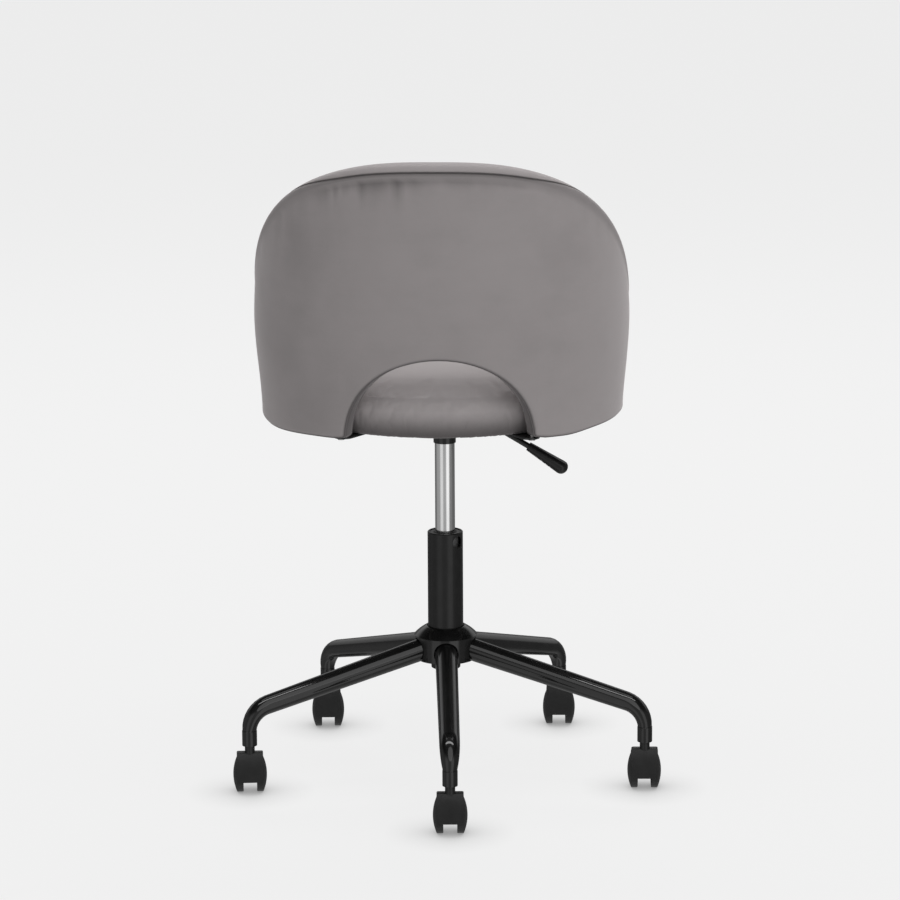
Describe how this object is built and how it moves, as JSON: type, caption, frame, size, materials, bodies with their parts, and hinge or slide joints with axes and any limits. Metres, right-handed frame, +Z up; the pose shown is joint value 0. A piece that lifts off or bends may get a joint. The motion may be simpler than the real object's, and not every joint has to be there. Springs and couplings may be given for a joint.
{
  "type": "swivel desk chair",
  "caption": "Height-adjustable swivel desk chair on a star base with casters, with a round upholstered seat and a wrap-around padded back with an opening at its foot.",
  "frame": {"origin": "on the floor under the axis of the gas lift", "axes": "+Z up along the gas lift; the sitter faces -Y; +X is the sitter's left"},
  "size_m": [0.6034, 0.5919, 0.915],
  "materials": {
    "black_steel": "gloss black powder coat",
    "column_black": "satin black",
    "chrome": "polished hard chrome",
    "zinc_steel": "bright zinc",
    "black_plastic": "fine matt moulding",
    "grey_plastic": "acetal",
    "velvet": "short-pile velvet",
    "plywood": "bare moulded plywood",
    "black_cloth": "non-woven dust cloth"
  },
  "bodies": {
    "base": {"base_hub": "black_steel", "column_tube": "column_black", "guide_bushing": "grey_plastic", "thrust_bearing": "zinc_steel", "base_leg_1": "black_steel", "base_leg_2": "black_steel", "base_leg_3": "black_steel", "base_leg_4": "black_steel", "base_leg_5": "black_steel", "leg_socket_1": "black_steel", "leg_socket_2": "black_steel", "leg_socket_3": "black_steel", "leg_socket_4": "black_steel", "leg_socket_5": "black_steel", "caster_stem_1": "zinc_steel", "caster_stem_2": "zinc_steel", "caster_stem_3": "zinc_steel", "caster_stem_4": "zinc_steel", "caster_stem_5": "zinc_steel"},
    "caster_1": {"caster_hood_1": "black_plastic", "caster_axle_1": "zinc_steel"},
    "wheel_1_left": {"caster_wheel_1_left": "black_plastic"},
    "wheel_1_right": {"caster_wheel_1_right": "black_plastic"},
    "caster_2": {"caster_hood_2": "black_plastic", "caster_axle_2": "zinc_steel"},
    "wheel_2_left": {"caster_wheel_2_left": "black_plastic"},
    "wheel_2_right": {"caster_wheel_2_right": "black_plastic"},
    "caster_3": {"caster_hood_3": "black_plastic", "caster_axle_3": "zinc_steel"},
    "wheel_3_left": {"caster_wheel_3_left": "black_plastic"},
    "wheel_3_right": {"caster_wheel_3_right": "black_plastic"},
    "caster_4": {"caster_hood_4": "black_plastic", "caster_axle_4": "zinc_steel"},
    "wheel_4_left": {"caster_wheel_4_left": "black_plastic"},
    "wheel_4_right": {"caster_wheel_4_right": "black_plastic"},
    "caster_5": {"caster_hood_5": "black_plastic", "caster_axle_5": "zinc_steel"},
    "wheel_5_left": {"caster_wheel_5_left": "black_plastic"},
    "wheel_5_right": {"caster_wheel_5_right": "black_plastic"},
    "lift_rod": {"piston_rod": "chrome", "retaining_clip": "zinc_steel"},
    "seat": {"gas_cylinder": "chrome", "cylinder_end_guide": "grey_plastic", "seat_plate": "black_steel", "plate_bolts": "zinc_steel", "tee_nuts": "zinc_steel", "lever_pivot": "zinc_steel", "dust_cover": "black_cloth", "seat_board": "plywood", "seat_cushion": "velvet", "shell_frame": "plywood", "shell_outer_pad": "velvet", "shell_inner_pad": "velvet", "shell_brackets": "black_steel", "bracket_screws": "zinc_steel"},
    "lever": {"release_lever": "black_steel", "lever_grip": "black_plastic"},
    "release_pin": {"release_pin": "zinc_steel"}
  },
  "joints": [
    {"name": "caster_1_swivel", "type": "hinge", "parent": "base", "child": "caster_1", "pos_m": [-0.01732, 0.29149, 0.055], "axis": [0, 0, 1], "continuous": true},
    {"name": "wheel_1_left_roll", "type": "hinge", "parent": "caster_1", "child": "wheel_1_left", "pos_m": [-0.01653, 0.2735, 0.025], "axis": [-0.999, -0.0436, 0], "continuous": true},
    {"name": "wheel_1_right_roll", "type": "hinge", "parent": "caster_1", "child": "wheel_1_right", "pos_m": [-0.01653, 0.2735, 0.025], "axis": [-0.999, -0.0436, 0], "continuous": true},
    {"name": "caster_2_swivel", "type": "hinge", "parent": "base", "child": "caster_2", "pos_m": [-0.28257, 0.0736, 0.055], "axis": [0, 0, 1], "continuous": true},
    {"name": "wheel_2_left_roll", "type": "hinge", "parent": "caster_2", "child": "wheel_2_left", "pos_m": [-0.2821, 0.05561, 0.025], "axis": [-0.9997, -0.0262, 0], "continuous": true},
    {"name": "wheel_2_right_roll", "type": "hinge", "parent": "caster_2", "child": "wheel_2_right", "pos_m": [-0.2821, 0.05561, 0.025], "axis": [-0.9997, -0.0262, 0], "continuous": true},
    {"name": "caster_3_swivel", "type": "hinge", "parent": "base", "child": "caster_3", "pos_m": [-0.15732, -0.246, 0.055], "axis": [0, 0, 1], "continuous": true},
    {"name": "wheel_3_left_roll", "type": "hinge", "parent": "caster_3", "child": "wheel_3_left", "pos_m": [-0.15685, -0.26399, 0.025], "axis": [-0.9997, -0.0262, 0], "continuous": true},
    {"name": "wheel_3_right_roll", "type": "hinge", "parent": "caster_3", "child": "wheel_3_right", "pos_m": [-0.15685, -0.26399, 0.025], "axis": [-0.9997, -0.0262, 0], "continuous": true},
    {"name": "caster_4_swivel", "type": "hinge", "parent": "base", "child": "caster_4", "pos_m": [0.18534, -0.22564, 0.055], "axis": [0, 0, 1], "continuous": true},
    {"name": "wheel_4_left_roll", "type": "hinge", "parent": "caster_4", "child": "wheel_4_left", "pos_m": [0.18644, -0.2436, 0.025], "axis": [-0.9981, -0.061, 0], "continuous": true},
    {"name": "wheel_4_right_roll", "type": "hinge", "parent": "caster_4", "child": "wheel_4_right", "pos_m": [0.18644, -0.2436, 0.025], "axis": [-0.9981, -0.061, 0], "continuous": true},
    {"name": "caster_5_swivel", "type": "hinge", "parent": "base", "child": "caster_5", "pos_m": [0.27187, 0.10654, 0.055], "axis": [0, 0, 1], "continuous": true},
    {"name": "wheel_5_left_roll", "type": "hinge", "parent": "caster_5", "child": "wheel_5_left", "pos_m": [0.27359, 0.08863, 0.025], "axis": [-0.9954, -0.0958, 0], "continuous": true},
    {"name": "wheel_5_right_roll", "type": "hinge", "parent": "caster_5", "child": "wheel_5_right", "pos_m": [0.27359, 0.08863, 0.025], "axis": [-0.9954, -0.0958, 0], "continuous": true},
    {"name": "seat_swivel", "type": "hinge", "parent": "base", "child": "lift_rod", "pos_m": [0, 0, 0.17], "axis": [0, 0, 1], "continuous": true},
    {"name": "seat_height", "type": "slide", "parent": "lift_rod", "child": "seat", "axis": [0, 0, 1], "range_m": [-0.115, 0]},
    {"name": "lever_lift", "type": "hinge", "parent": "seat", "child": "lever", "pos_m": [-0.032, 0, 0.521], "axis": [0, 1, 0], "range_deg": [0, 6], "stiffness_Nm_per_rad": 4, "springref_deg": -6.88},
    {"name": "valve_press", "type": "slide", "parent": "seat", "child": "release_pin", "axis": [0, 0, -1], "range_m": [0, 0.0035]}
  ],
  "couplings": [
    {"joint": "valve_press", "follows": "lever_lift", "m_per_rad": 0.032}
  ]
}
